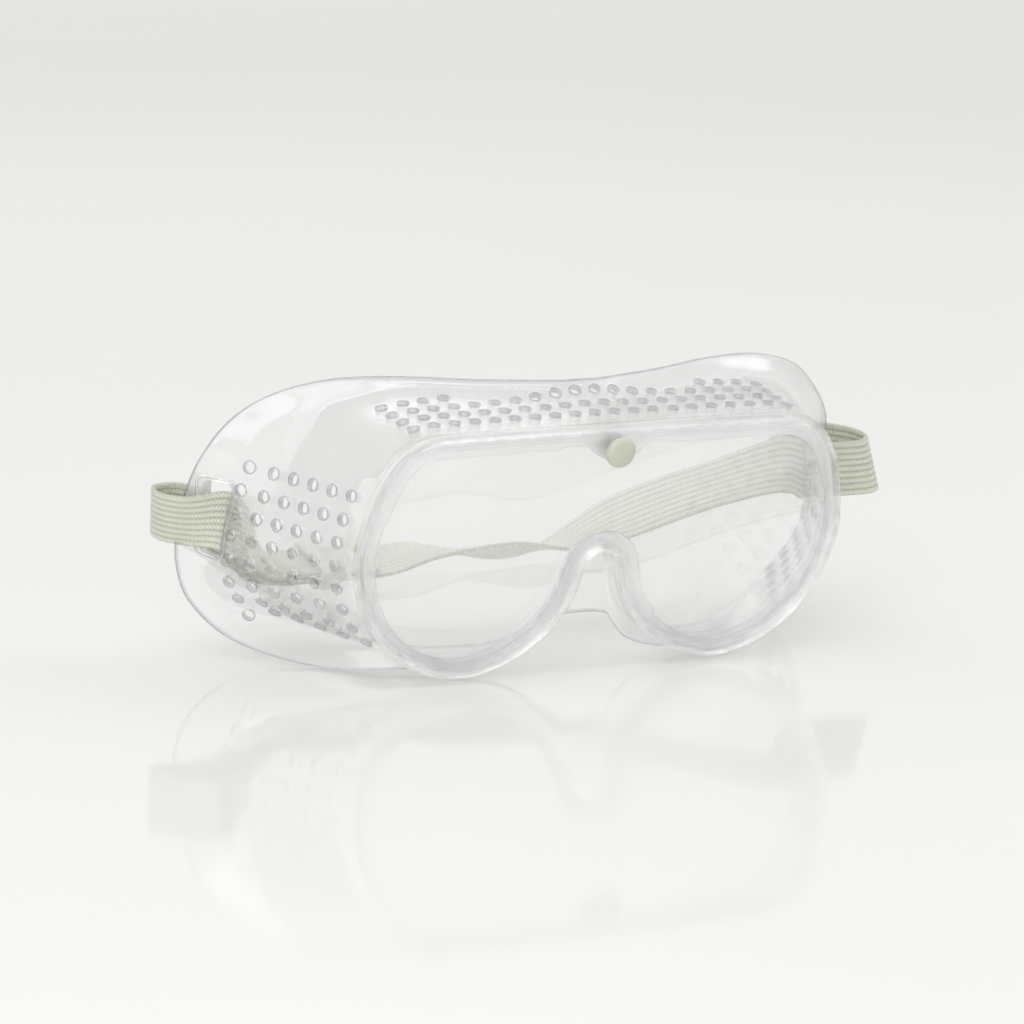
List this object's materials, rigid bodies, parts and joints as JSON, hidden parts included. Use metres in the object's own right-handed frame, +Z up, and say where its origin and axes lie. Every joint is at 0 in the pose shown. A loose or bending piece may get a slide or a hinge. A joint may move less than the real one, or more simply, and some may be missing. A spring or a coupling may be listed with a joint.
{
  "type": "safety goggles",
  "caption": "Clear vented safety goggles: soft moulded frame with a perforated skirt, flat one-piece lens, snap button and elastic head strap.",
  "frame": {"origin": "middle of the footprint on the surface the goggles stand on", "axes": "+X to the wearer's left across the face, -Y out through the lens, +Z up; the goggles lean 12 degrees forward, as they stand by themselves"},
  "size_m": [0.2088, 0.0764, 0.0757],
  "materials": {
    "clear_vinyl": "clear soft vinyl, glossy",
    "clear_polycarbonate": "clear, polished",
    "white_plastic": "warm white, satin",
    "knitted_elastic": "ribbed knitted elastic, off-white",
    "slide_plastic": "off-white, matte"
  },
  "bodies": {
    "frame": {"frame_moulding": "clear_vinyl", "lens": "clear_polycarbonate", "snap_socket": "white_plastic", "strap_loop_left": "knitted_elastic", "strap_loop_right": "knitted_elastic"},
    "button": {"snap_button": "white_plastic"},
    "strap": {"strap_band": "knitted_elastic", "strap_tail": "knitted_elastic"},
    "slide": {"strap_slide": "slide_plastic"}
  },
  "joints": [
    {"name": "button_pull", "type": "slide", "parent": "frame", "child": "button", "axis": [0, -0.9781, -0.2079], "range_m": [0, 0.009]},
    {"name": "strap_pull", "type": "slide", "parent": "frame", "child": "strap", "axis": [0, 1, 0], "range_m": [0, 0.04], "stiffness_N_per_m": 20, "deforming": ["strap_loop_left", "strap_loop_right"]},
    {"name": "slide_along_strap", "type": "slide", "parent": "strap", "child": "slide", "axis": [-1, 0, 0], "range_m": [0, 0.007]}
  ]
}
